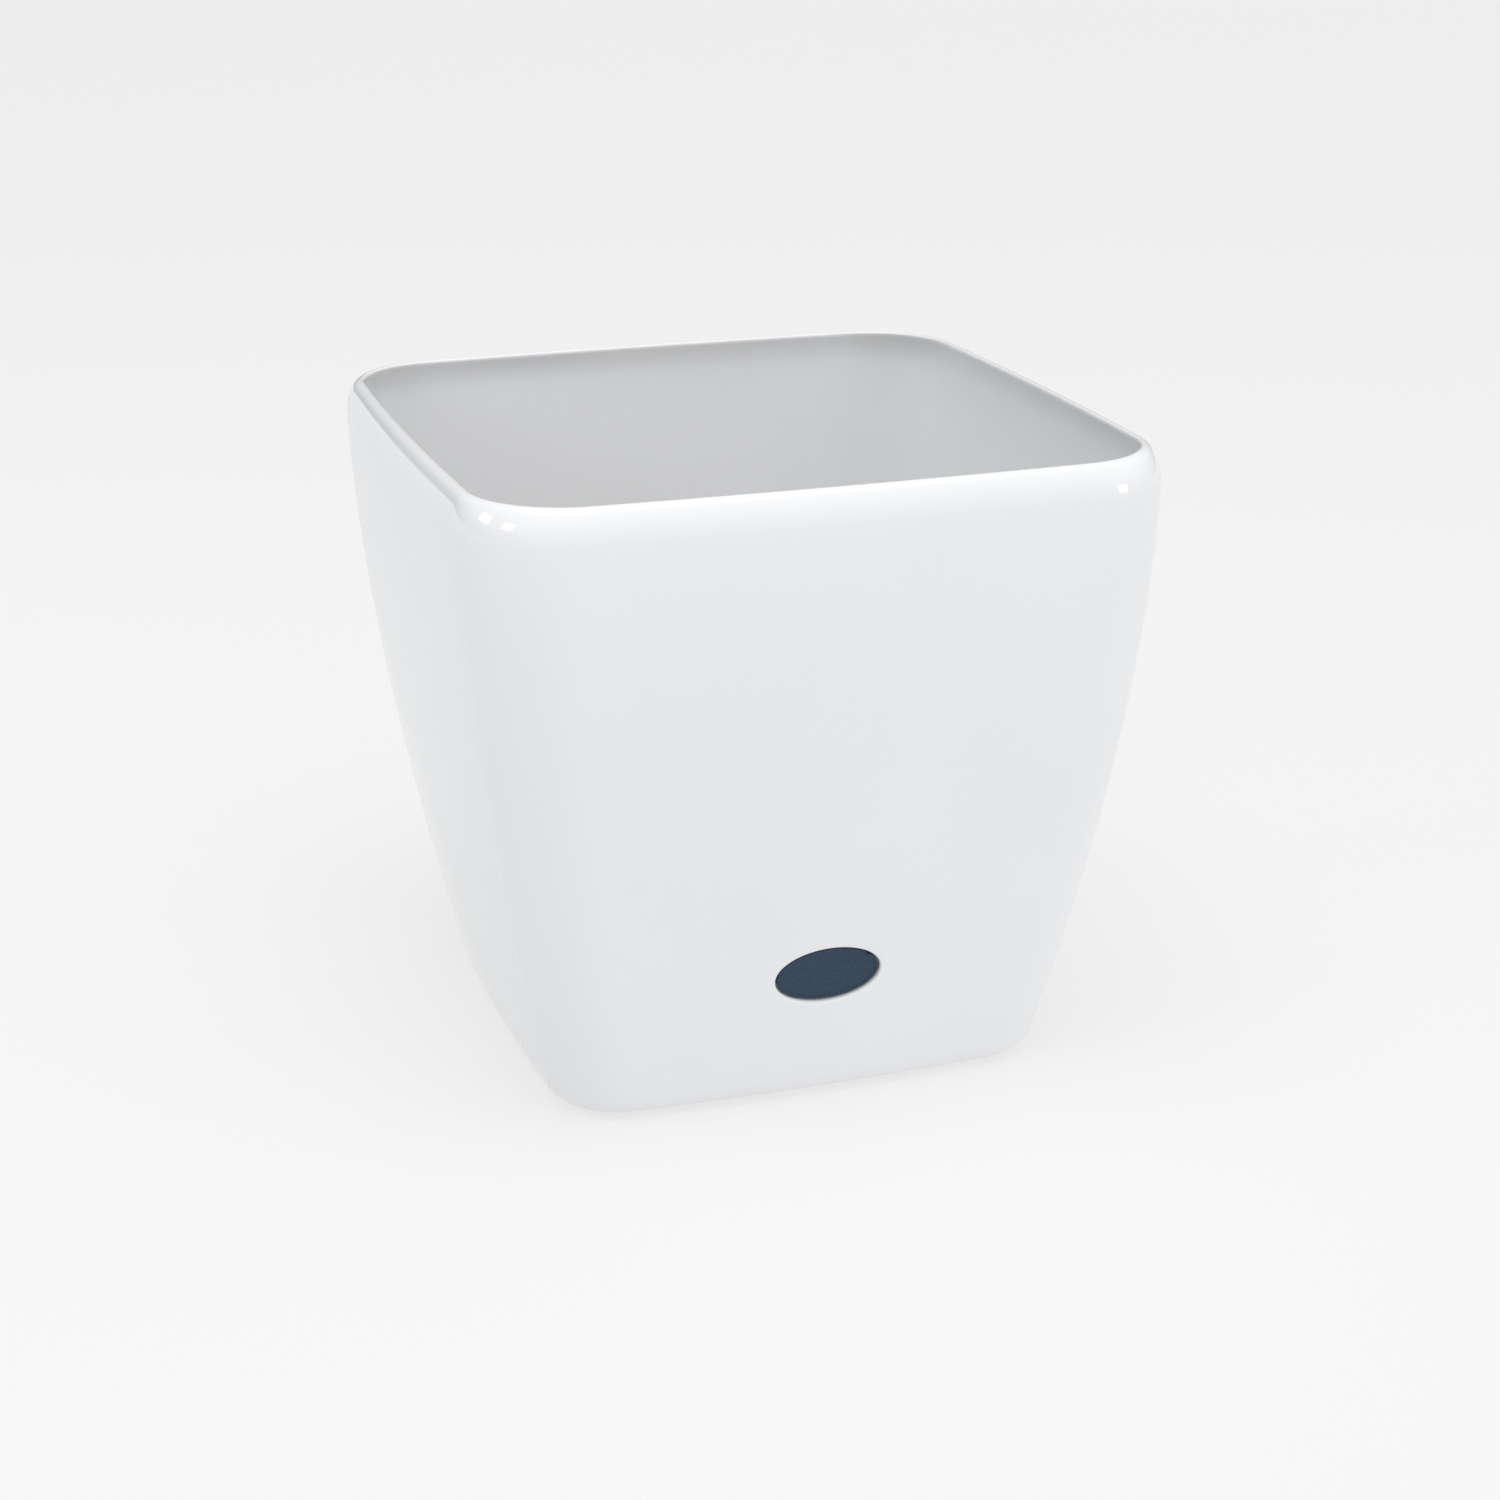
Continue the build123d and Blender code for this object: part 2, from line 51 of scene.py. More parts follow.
weldDistance = 1e-6              # closer points are one point, in metres


cameraSettings = {
    "azimuth": 18.43,            # degrees to the left of the front
    "elevation": 19.76,
    "roll": -0.17,
    "distance": 0.823,
    "lens": 66.12,
    "aim": (0.00324, -0.00528, 0.08115),
}


def addCamera(settings):
    turn, tilt = math.radians(settings["azimuth"]), math.radians(settings["elevation"])
    forward = Vector((math.sin(turn) * math.cos(tilt), math.cos(turn) * math.cos(tilt), -math.sin(tilt)))
    data = bpy.data.cameras.new("camera")
    data.lens = settings["lens"]
    data.clip_start = 0.01
    camera = bpy.data.objects.new("camera", data)
    scene.collection.objects.link(camera)
    camera.location = Vector(settings["aim"]) - forward * settings["distance"]
    look = forward.to_track_quat("-Z", "Y").to_matrix().to_4x4()
    lean = Matrix.Rotation(math.radians(settings["roll"]), 4, "Z")
    camera.rotation_euler = (look @ lean).to_euler()
    scene.camera = camera


addCamera(cameraSettings)
print("camera placed")


def startMaterial(name):
    material = bpy.data.materials.new(name)
    material.use_nodes = True
    nodes = material.node_tree.nodes
    shader = nodes["Principled BSDF"]
    place = nodes.new("ShaderNodeTexCoord")
    return material, shader, place


def addNoise(material, place, scale, detail=4.0, roughness=0.5, stretch=None):
    nodes, links = material.node_tree.nodes, material.node_tree.links
    pattern = nodes.new("ShaderNodeTexNoise")
    pattern.inputs["Scale"].default_value = scale
    pattern.inputs["Detail"].default_value = detail
    pattern.inputs["Roughness"].default_value = roughness
    source = place.outputs["Object"]
    if stretch:
        mapping = nodes.new("ShaderNodeMapping")
        mapping.inputs["Scale"].default_value = stretch
        links.new(source, mapping.inputs["Vector"])
        source = mapping.outputs["Vector"]
    links.new(source, pattern.inputs["Vector"])
    return pattern.outputs["Fac"]


patternLow, patternHigh = 0.3, 0.7   # most of a noise pattern lies between these


def addTint(material, shader, source, dark, light):
    nodes, links = material.node_tree.nodes, material.node_tree.links
    ramp = nodes.new("ShaderNodeValToRGB")
    ramp.color_ramp.elements[0].position = patternLow
    ramp.color_ramp.elements[1].position = patternHigh
    ramp.color_ramp.elements[0].color = (*dark, 1)
    ramp.color_ramp.elements[1].color = (*light, 1)
    links.new(source, ramp.inputs["Fac"])
    links.new(ramp.outputs["Color"], shader.inputs["Base Color"])


def addWear(material, shader, source, smooth, hazy):
    nodes, links = material.node_tree.nodes, material.node_tree.links
    ranged = nodes.new("ShaderNodeMapRange")
    ranged.inputs["From Min"].default_value = patternLow
    ranged.inputs["From Max"].default_value = patternHigh
    ranged.inputs["To Min"].default_value = smooth
    ranged.inputs["To Max"].default_value = hazy
    links.new(source, ranged.inputs["Value"])
    links.new(ranged.outputs["Result"], shader.inputs["Roughness"])


def addBump(material, shader, source, strength, depth):
    nodes, links = material.node_tree.nodes, material.node_tree.links
    bump = nodes.new("ShaderNodeBump")
    bump.inputs["Strength"].default_value = strength
    bump.inputs["Distance"].default_value = depth
    links.new(source, bump.inputs["Height"])
    links.new(bump.outputs["Normal"], shader.inputs["Normal"])


def glossWhite(name, dark, light, smooth=0.05, hazy=0.10):
    material, shader, place = startMaterial(name)
    cloud = addNoise(material, place, 9.0, 3.0)
    addTint(material, shader, cloud, dark, light)
    smudge = addNoise(material, place, 26.0, 6.0, 0.6)
    addWear(material, shader, smudge, smooth, hazy)
    shader.inputs["IOR"].default_value = 1.5
    shader.inputs["Coat Weight"].default_value = 0.10
    shader.inputs["Coat Roughness"].default_value = 0.04
    ripple = addNoise(material, place, 55.0, 1.0)
    addBump(material, shader, ripple, 0.05, 0.0004)
    return material


def plugSlate():
    material, shader, place = startMaterial("plugSlate")
    grain = addNoise(material, place, 1500.0, 3.0, 0.7)
    addTint(material, shader, grain, (0.006, 0.026, 0.054), (0.024, 0.050, 0.090))
    addWear(material, shader, grain, 0.34, 0.50)
    shader.inputs["Specular IOR Level"].default_value = 0.35
    addBump(material, shader, grain, 0.25, 0.0001)
    return material


def mouldedPlastic(name, dark, light, smooth=0.38, hazy=0.55, grainDepth=0.00006):
    material, shader, place = startMaterial(name)
    cloud = addNoise(material, place, 22.0, 4.0)
    addTint(material, shader, cloud, dark, light)
    wear = addNoise(material, place, 90.0, 5.0, 0.65)
    addWear(material, shader, wear, smooth, hazy)
    grain = addNoise(material, place, 1100.0, 2.0, 0.6)
    addBump(material, shader, grain, 0.35, grainDepth)
    return material


def softRubber(name, dark, light):
    material, shader, place = startMaterial(name)
    dust = addNoise(material, place, 60.0, 6.0, 0.7)
    addTint(material, shader, dust, dark, light)
    addWear(material, shader, dust, 0.62, 0.85)
    grain = addNoise(material, place, 1800.0, 2.0)
    addBump(material, shader, grain, 0.4, 0.00008)
    return material


def drawnSteel():
    material, shader, place = startMaterial("drawnSteel")
    shader.inputs["Metallic"].default_value = 1.0
    streak = addNoise(material, place, 500.0, 4.0, 0.6, stretch=(8.0, 0.3, 8.0))
    addTint(material, shader, streak, (0.46, 0.46, 0.47), (0.64, 0.64, 0.65))
    addWear(material, shader, streak, 0.22, 0.38)
    addBump(material, shader, streak, 0.3, 0.00003)
    return material


def foam():
    material, shader, place = startMaterial("floatFoam")
    cells = addNoise(material, place, 900.0, 2.0, 0.5)
    addTint(material, shader, cells, (0.66, 0.64, 0.56), (0.80, 0.78, 0.71))
    addWear(material, shader, cells, 0.70, 0.88)
    addBump(material, shader, cells, 0.6, 0.0003)
    return material


def clearPlastic():
    material, shader, place = startMaterial("clearPlastic")
    shader.inputs["Transmission Weight"].default_value = 0.9
    shader.inputs["IOR"].default_value = 1.49
    haze = addNoise(material, place, 120.0, 4.0)
    addTint(material, shader, haze, (0.93, 0.95, 0.96), (0.98, 0.99, 1.0))
    addWear(material, shader, haze, 0.02, 0.07)
    return material


finishes = {
    "pot_gloss_white": glossWhite("potWhite", (0.775, 0.780, 0.792), (0.797, 0.802, 0.814)),
    "plug_slate": plugSlate(),
    "seal_rubber": softRubber("sealRubber", (0.018, 0.018, 0.020), (0.032, 0.032, 0.034)),
    "foot_rubber": softRubber("footRubber", (0.09, 0.09, 0.095), (0.14, 0.14, 0.145)),
    "insert_pale": mouldedPlastic("insertPale", (0.60, 0.585, 0.545), (0.66, 0.645, 0.60)),
    "shaft_pale": mouldedPlastic("shaftPale", (0.70, 0.70, 0.69), (0.76, 0.76, 0.75), 0.30, 0.45),
    "lid_white": glossWhite("lidWhite", (0.73, 0.735, 0.76), (0.77, 0.775, 0.80), 0.18, 0.28),
    "pin_steel": drawnSteel(),
    "float_foam": foam(),
    "rod_white": mouldedPlastic("rodWhite", (0.62, 0.62, 0.62), (0.70, 0.70, 0.70), 0.32, 0.45),
    "tip_red": glossWhite("tipRed", (0.46, 0.018, 0.014), (0.58, 0.026, 0.020), 0.16, 0.26),
    "sight_clear": clearPlastic(),
    "scale_white": mouldedPlastic("scaleWhite", (0.74, 0.74, 0.72), (0.80, 0.80, 0.78), 0.40, 0.52),
}
nodeSlots = {row["node"]: row["material_slot"] for row in frame["record"]["subparts"]}
nodeBodies = {}
for body, members in frame["record"]["behaviour"]["bodies"].items():
    nodeBodies.update(dict.fromkeys(members, body))
for name, node in frame["nodes"].items():
    node.data.materials.clear()
    node.data.materials.append(finishes[nodeSlots[name]])
print("materials made")


def finishPiece(bm, name, slotName, body, replaced=(), sharpAngle=38):
    mesh = bpy.data.meshes.new(name)
    for face in bm.faces:
        face.smooth = True
    bm.to_mesh(mesh)
    bm.free()
    mesh.set_sharp_from_angle(angle=math.radians(sharpAngle))
    piece = bpy.data.objects.new(name, mesh)
    scene.collection.objects.link(piece)
    mesh.materials.append(finishes[slotName])
    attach(piece, body)
    if replaced:
        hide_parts(*replaced)
    return piece


def ringEdges(bm, ring):
    return [bm.edges.get((vert, ring[k - 1])) for k, vert in enumerate(ring)]


def growRing(bm, ring, places):
    made = bmesh.ops.extrude_edge_only(bm, edges=ringEdges(bm, ring))["geom"]
    fresh = {item for item in made if isinstance(item, bmesh.types.BMVert)}
    grown = []
    for vert in ring:
        others = [edge.other_vert(vert) for edge in vert.link_edges]
        grown.append(next(other for other in others if other in fresh))
    for vert, place in zip(grown, places):
        vert.co = place
    return grown


def circlePlaces(radius, centre, height, steps):
    places = []
    for k in range(steps):
        angle = math.tau * k / steps
        x, y = centre[0] + radius * math.cos(angle), centre[1] + radius * math.sin(angle)
        places.append(Vector((x, y, height)))
    return places


def flatRing(bm, radius, centre, height, steps):
    ring = [bm.verts.new(place) for place in circlePlaces(radius, centre, height, steps)]
    for k, vert in enumerate(ring):
        bm.edges.new((ring[k - 1], vert))
    return ring


def spinProfile(bm, profile, centre=(0, 0), steps=64, closed=True):
    verts = [bm.verts.new((centre[0] + radius, centre[1], height)) for radius, height in profile]
    edges = [bm.edges.new(pair) for pair in zip(verts, verts[1:])]
    if closed:
        edges.append(bm.edges.new((verts[-1], verts[0])))
    axle = (centre[0], centre[1], 0)
    bmesh.ops.spin(
        bm, geom=verts + edges, cent=axle, axis=(0, 0, 1), angle=math.tau, steps=steps, use_merge=True
    )
    bmesh.ops.remove_doubles(bm, verts=bm.verts, dist=weldDistance)
    bmesh.ops.recalc_face_normals(bm, faces=bm.faces)


def arc(centre, radius, start, stop, steps):
    points = []
    for k in range(steps + 1):
        angle = math.radians(start + (stop - start) * k / steps)
        points.append((centre[0] + radius * math.cos(angle), centre[1] + radius * math.sin(angle)))
    return points


pot = {
    "halfWidth": 100 * mm,
    "baseHalfWidth": 74.3 * mm,
    "top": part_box("outer_pot")[1].z,
    "bottom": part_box("outer_pot")[0].z,
    "bow": 1.66,                 # 1 is a straight taper
    "shoulder": 174.5 * mm,
    "shoulderRadius": 18 * mm,
    "cornerTop": 28.5 * mm,
    "cornerBase": 20.5 * mm,
    "sideTop": 1780 * mm,        # radius of the slight bow of each side, in plan
    "sideBase": 860 * mm,
    "wall": 3 * mm,
    "baseRound": 6 * mm,
    "footRing": 5.5 * mm,
    "recess": 1.8 * mm,          # height of the hollow under the floor
    "floor": 4.8 * mm,
    "floorRound": 4 * mm,
    "padPlace": 49 * mm,
    "padSocket": 7.6 * mm,
    "padDepth": 2.65 * mm,
    "padSteps": 48,
    "ceilingEase": (0.4 * mm, 0.12 * mm),    # a rounding's width, and how far in its middle lies
    "ringEase": (0.25 * mm, 0.07 * mm),
    "ringOut": 0.3 * mm,         # from the foot ring's flat to the base's rounding
    "floorGap": 1 * mm,          # clear of rows above the floor's rounding
    "floorEdge": 5 * mm,         # width of the floor's outermost faces
    "sideSteps": 56,
    "cornerSteps": 18,
    "rowsBelowSeat": 7,
    "rowsAboveSeat": 26,
    "shoulderRows": 7,
    "lipSteps": 12,
    "turnStep": 10,              # degrees between the rows of a rounding
}

gate = {                         # the moulding's gate disc, in the middle underneath
    "radius": 9 * mm,
    "steps": 64,
    "rings": [(8.8, 0.35), (7.6, 0.35), (7.2, 0.1), (2.2, 0.1), (2.0, 0.5)],    # radius and drop, mm
}

seat = {
    "height": 41.6 * mm,
    "halfW": 15.55 * mm,
    "halfH": 8.9 * mm,
    "depth": 2.9 * mm,
    "edge": 0.6 * mm,
    "holeW": 12.6 * mm,
    "holeH": 5.95 * mm,
    "bossW": 16.8 * mm,
    "bossH": 10.15 * mm,
    "bossDepth": 6.2 * mm,
    "columns": 18,               # grid columns and rows that the oval takes the place of
    "rows": 14,
    "rowStep": 2.05 * mm,
    "blendRings": 5,
    "blendPower": 0.85,          # below 1 the rings take on the oval's shape sooner
    "ease": 0.25 * mm,
    "bossRound": 0.8 * mm,
    "bossFoot": 0.5 * mm,
}


def halfWidth(z):
    full, base = pot["halfWidth"], pot["baseHalfWidth"]
    if z <= pot["shoulder"]:
        return full - (full - base) * (1 - z / pot["shoulder"]) ** pot["bow"]
    rise = z - pot["shoulder"]
    return full - (pot["shoulderRadius"] - math.sqrt(pot["shoulderRadius"] ** 2 - rise ** 2))


def section(z, inset=0.0):
    share = z / pot["top"]
    half = halfWidth(z) - inset
    corner = pot["cornerBase"] + (pot["cornerTop"] - pot["cornerBase"]) * share - inset
    side = 1 / (1 / pot["sideBase"] + (1 / pot["sideTop"] - 1 / pot["sideBase"]) * share) - inset
    back = side - half           # how far behind the axis the side arc's centre lies
    middle = (-back + math.sqrt(2 * (side - corner) ** 2 - back ** 2)) / 2
    return corner, side, back, middle, math.atan2(middle, middle + back)


def sectionRing(z, inset=0.0):
    corner, side, back, middle, turn = section(z, inset)
    quarter = []
    for k in range(pot["sideSteps"]):
        angle = -turn + 2 * turn * k / pot["sideSteps"]
        quarter.append((side * math.cos(angle) - back, side * math.sin(angle)))
    for k in range(pot["cornerSteps"]):
        angle = turn + (math.pi / 2 - 2 * turn) * k / pot["cornerSteps"]
        quarter.append((middle + corner * math.cos(angle), middle + corner * math.sin(angle)))
    places = []
    for turnBack in range(4):    # the front side comes first, then round by the right
        facing = math.pi / 2 * (turnBack - 1)
        c, s = math.cos(facing), math.sin(facing)
        places += [Vector((x * c - y * s, x * s + y * c, z)) for x, y in quarter]
    return places


def wallFrame():
    z, step = seat["height"], 0.5 * mm
    lean = math.atan((halfWidth(z + step) - halfWidth(z - step)) / (2 * step))
    centre = Vector((0, -halfWidth(z), z))
    outward = Vector((0, -math.cos(lean), -math.sin(lean)))
    upward = Vector((0, -math.sin(lean), math.cos(lean)))
    return centre, outward, upward


seatCentre, seatOut, seatUp = wallFrame()


def onWall(x, y, inset=0.0):
    depth = -inset
    for _ in range(6):           # walk along the seat's normal until the point lies on the wall
        place = seatCentre + Vector((x, 0, 0)) + seatUp * y + seatOut * depth
        side, back = section(place.z, inset)[1:3]
        depth += place.y + math.sqrt(side ** 2 - x ** 2) - back
    return place


def ovalRing(halfW, halfH, depth, count):
    places = []
    for k in range(count):
        angle = math.tau * k / count
        across, along = halfW * math.cos(angle), halfH * math.sin(angle)
        places.append(seatCentre + Vector((across, 0, 0)) + seatUp * along + seatOut * depth)
    return places


def openOval(bm, ring, halfW, halfH, inset):
    count = len(ring)
    flat = []
    for vert in ring:
        away = vert.co - seatCentre
        flat.append((away.x, away.dot(seatUp)))
    for step in range(1, seat["blendRings"] + 1):
        share = (step / seat["blendRings"]) ** seat["blendPower"]
        places = []
        for k, (x, y) in enumerate(flat):
            angle = math.tau * k / count
            toX, toY = halfW * math.cos(angle), halfH * math.sin(angle)
            places.append(onWall(x + (toX - x) * share, y + (toY - y) * share, inset))
        ring = growRing(bm, ring, places)
    return ring


def cutWindow(bm, rings, rowStart):
    left = (pot["sideSteps"] - seat["columns"]) // 2
    right, top = left + seat["columns"], rowStart + seat["rows"]
    middle = rowStart + seat["rows"] // 2
    rows = rings[rowStart:top + 1]
    inside = [vert for row in rows[1:-1] for vert in row[left + 1:right]]
    border = [rings[row][right] for row in range(middle, top)]
    border += [rings[top][column] for column in range(right, left, -1)]
    border += [rings[row][left] for row in range(top, rowStart, -1)]
    border += [rings[rowStart][column] for column in range(left, right)]
    border += [rings[row][right] for row in range(rowStart, middle)]
    bmesh.ops.delete(bm, geom=inside, context="VERTS")
    return border


def outerHeights():
    bottom, top, rounding, turnStep = pot["bottom"], pot["top"], pot["baseRound"], pot["turnStep"]
    turns = [math.radians(degrees) for degrees in range(turnStep, 91, turnStep)]
    rows = [bottom + rounding * (1 - math.cos(turn)) for turn in turns]
    windowLow = seat["height"] - seat["rows"] / 2 * seat["rowStep"]
    low, count = rows[-1], pot["rowsBelowSeat"]
    rows += [low + (windowLow - low) * k / count for k in range(1, count)]
    start = len(rows)
    rows += [windowLow + seat["rowStep"] * k for k in range(seat["rows"] + 1)]
    low, count = rows[-1], pot["rowsAboveSeat"]
    rows += [low + (pot["shoulder"] - low) * k / count for k in range(1, count + 1)]
    lipStart, count = top - pot["wall"] / 2, pot["shoulderRows"]
    rows += [pot["shoulder"] + (lipStart - pot["shoulder"]) * k / count for k in range(1, count + 1)]
    return rows, start


def roundedBase(z):
    share = max(0.0, 1 - (z - pot["bottom"]) / pot["baseRound"])
    return pot["baseRound"] * (1 - math.sqrt(1 - min(share, 1) ** 2))


def roundedFloor(z):
    share = max(0.0, 1 - (z - pot["floor"]) / pot["floorRound"])
    return pot["wall"] + pot["floorRound"] * (1 - math.sqrt(1 - min(share, 1) ** 2))


def closeUnderside(bm, border):
    edges = ringEdges(bm, border)
    ceiling, far, socket, steps = pot["recess"], pot["padPlace"], pot["padSocket"], pot["padSteps"]
    for centre in ((-far, -far), (far, -far), (-far, far), (far, far)):
        ring = flatRing(bm, socket, centre, ceiling, steps)
        edges += ringEdges(bm, ring)
        deep = growRing(bm, ring, circlePlaces(socket, centre, pot["padDepth"], steps))
        bm.faces.new(deep)
    ring = flatRing(bm, gate["radius"], (0, 0), ceiling, gate["steps"])
    edges += ringEdges(bm, ring)
    for radius, drop in gate["rings"]:
        ring = growRing(bm, ring, circlePlaces(radius * mm, (0, 0), ceiling - drop * mm, gate["steps"]))
    bm.faces.new(ring)
    bmesh.ops.triangle_fill(bm, use_beauty=True, use_dissolve=False, edges=edges, normal=(0, 0, -1))


def makePot():
    bm = bmesh.new()
    perRing = 4 * (pot["sideSteps"] + pot["cornerSteps"])
    ring = bmesh.ops.create_circle(bm, segments=perRing, radius=1)["verts"]
    bottom, footInset = pot["bottom"], pot["baseRound"] + pot["footRing"]

    def underside(z, inset):     # the hollow's wall is straight, so its outline is the base's
        return [place + Vector((0, 0, z - bottom)) for place in sectionRing(bottom, inset)]

    ceiling, (ease, part) = pot["recess"], pot["ceilingEase"]
    under = [(ceiling, footInset + ease), (ceiling - part, footInset + part)]
    under += [(ceiling - ease, footInset)]
    ease, part = pot["ringEase"]
    under += [(bottom + ease, footInset), (bottom + part, footInset - part), (bottom, footInset - ease)]
    under += [(bottom, pot["baseRound"] + pot["ringOut"])]
    for vert, place in zip(ring, underside(*under[0])):
        vert.co = place
    firstRing = ring
    for z, inset in under[1:]:
        ring = growRing(bm, ring, underside(z, inset))
    rows, windowRow = outerHeights()
    outerRings = []
    for z in rows:
        ring = growRing(bm, ring, sectionRing(z, roundedBase(z)))
        outerRings.append(ring)

    lip = pot["wall"] / 2
    for step in range(1, pot["lipSteps"]):   # round over the lip
        angle = math.pi * step / pot["lipSteps"]
        z = pot["top"] - lip + lip * math.sin(angle)
        ring = growRing(bm, ring, sectionRing(z, lip - lip * math.cos(angle)))

    innerRings = []
    floorLow = pot["floor"]
    innerRows = [z for z in rows if z > floorLow + pot["floorRound"] + pot["floorGap"]]
    for z in reversed(innerRows):
        ring = growRing(bm, ring, sectionRing(z, pot["wall"]))
        innerRings.append(ring)
    for degrees in range(90, -1, -pot["turnStep"]):
        z = floorLow + pot["floorRound"] * (1 - math.cos(math.radians(degrees)))
        ring = growRing(bm, ring, sectionRing(z, roundedFloor(z)))
    ring = growRing(bm, ring, sectionRing(floorLow, pot["wall"] + pot["floorRound"] + pot["floorEdge"]))
    closeUnderside(bm, firstRing)
    bm.faces.new(ring)

    # the overflow's seat: an oval let into the outside, a boss inside and the hole between
    outerBorder = cutWindow(bm, outerRings, windowRow)
    innerRings.reverse()
    skipped = len(rows) - len(innerRows)
    innerBorder = cutWindow(bm, innerRings, windowRow - skipped)
    count, edge = len(outerBorder), seat["edge"]
    w, h = seat["halfW"], seat["halfH"]
    ring = openOval(bm, outerBorder, w + edge, h + edge, 0)
    start = ovalRing(w + edge, h + edge, 0, count)
    lift = [(vert.co - place).dot(seatOut) for vert, place in zip(ring, start)]
    for degrees in (30, 60, 90): # rounded edge, which follows the wall's own bow
        turn = math.radians(degrees)
        shrink, drop = edge * (1 - math.sin(turn)), edge * (1 - math.cos(turn))
        flat = ovalRing(w + shrink, h + shrink, -drop, count)
        ring = growRing(bm, ring, [place + seatOut * rise for place, rise in zip(flat, lift)])
    hw, hh, bw, bh = seat["holeW"], seat["holeH"], seat["bossW"], seat["bossH"]
    small, deep, back, bossRound = seat["ease"], seat["depth"], seat["bossDepth"], seat["bossRound"]
    tight = bossRound / 4
    steps = [
        (w, h, small - deep), (w - small, h - small, -deep),
        (hw + small, hh + small, -deep), (hw, hh, -deep - small),
        (hw, hh, small - back), (hw + small, hh + small, -back),
        (bw - bossRound, bh - bossRound, -back), (bw - tight, bh - tight, tight - back),
        (bw, bh, bossRound - back),
    ]
    for halfW, halfH, depth in steps:
        ring = growRing(bm, ring, ovalRing(halfW, halfH, depth, count))
    foot = seat["bossFoot"]
    inner = openOval(bm, innerBorder, bw + foot, bh + foot, pot["wall"])
    bmesh.ops.bridge_loops(bm, edges=ringEdges(bm, ring) + ringEdges(bm, inner))
    bmesh.ops.recalc_face_normals(bm, faces=bm.faces)
    return finishPiece(bm, "potShell", "pot_gloss_white", "pot", ["outer_pot"])


makePot()
print("pot made")

plug = {
    "face": [15.0, 8.35],        # half width and height of the head, mm
    "stem": [12.3, 5.65],
    "segments": 240,
    "nickAngle": 38,             # degrees from the right, towards the top
    "nickDeep": 0.6,
    "nickWide": 0.95,
    "head": [                    # how far in from the head's edge, and how deep in the wall, mm
        (1.0, 1.15), (0.86, 1.13), (0.8, 0.97), (0.7, 0.9), (0.32, 0.9), (0.1, 0.98), (0, 1.2),
        (0, 2.28), (0.12, 2.4),
    ],
    "tail": [
        (-0.2, 2.4), (0, 2.6), (0, 6.75), (-0.15, 7.0), (-0.15, 7.6), (0, 7.85), (0, 8.4), (0.2, 8.6),
        (1.2, 8.6), (1.4, 8.4), (1.4, 2.95), (1.55, 2.8),
    ],
}


def nickAt(angle, halfW, halfH):
    turn = math.radians(plug["nickAngle"])
    across = halfW * (math.cos(angle) - math.cos(turn))
    along = halfH * (math.sin(angle) - math.sin(turn))
    away, wide = math.hypot(across, along), plug["nickWide"] * mm
    if away > wide:
        return 0.0
    return plug["nickDeep"] * mm * math.cos(math.pi / 2 * away / wide) ** 2


def makePlug():
    bm = bmesh.new()
    rings = [(plug["face"], inward, depth) for inward, depth in plug["head"]]
    rings += [(plug["stem"], inward, depth) for inward, depth in plug["tail"]]
    count = plug["segments"]
    ring = flatRing(bm, 1.0, (0, 0), 0, count)
    firstRing = ring
    for number, (size, inward, depth) in enumerate(rings):
        halfW, halfH = (size[0] - inward) * mm, (size[1] - inward) * mm
        places = ovalRing(halfW, halfH, -depth * mm, count)
        if number < len(plug["head"]):
            for k, place in enumerate(places):
                angle = math.tau * k / count
                inwards = (seatCentre - seatOut * depth * mm - place).normalized()
                places[k] = place + inwards * nickAt(angle, halfW, halfH)
        if number:
            ring = growRing(bm, ring, places)
        else:
            for vert, place in zip(ring, places):
                vert.co = place
    bm.faces.new(firstRing)
    bm.faces.new(ring)
    bmesh.ops.recalc_face_normals(bm, faces=bm.faces)
    return finishPiece(bm, "overflowPlug", "plug_slate", "plug", ["overflow_plug"], 55)


makePlug()
print("plug made")

pads = {
    "profile": [                 # radius and height, mm
        (0, 0.25), (1.6, 0.25), (1.85, 0.06), (2.1, 0), (3.9, 0), (4.15, 0.06), (4.35, 0.3), (5.0, 0.3),
        (5.2, 0.06), (5.4, 0), (6.9, 0), (7.3, 0.12), (7.5, 0.45), (7.5, 2.6), (0, 2.6),
    ],
    "nodes": {
        "foot_pad_front_left": ("footPadFrontLeft", -49, -49),
        "foot_pad_front_right": ("footPadFrontRight", 49, -49),
        "foot_pad_back_left": ("footPadBackLeft", -49, 49),
        "foot_pad_back_right": ("footPadBackRight", 49, 49),
    },
}


def scaled(profile):
    return [(radius * mm, height * mm) for radius, height in profile]


def spunPiece(name, slotName, body, node, profile, centre, closed=False, steps=64):
    bm = bmesh.new()
    spinProfile(bm, scaled(profile), (centre[0] * mm, centre[1] * mm), steps, closed)
    return finishPiece(bm, name, slotName, body, [node] if node else [])


for node, (name, x, y) in pads["nodes"].items():
    spunPiece(name, "foot_rubber", "pot", node, pads["profile"], (x, y))
print("foot pads made")

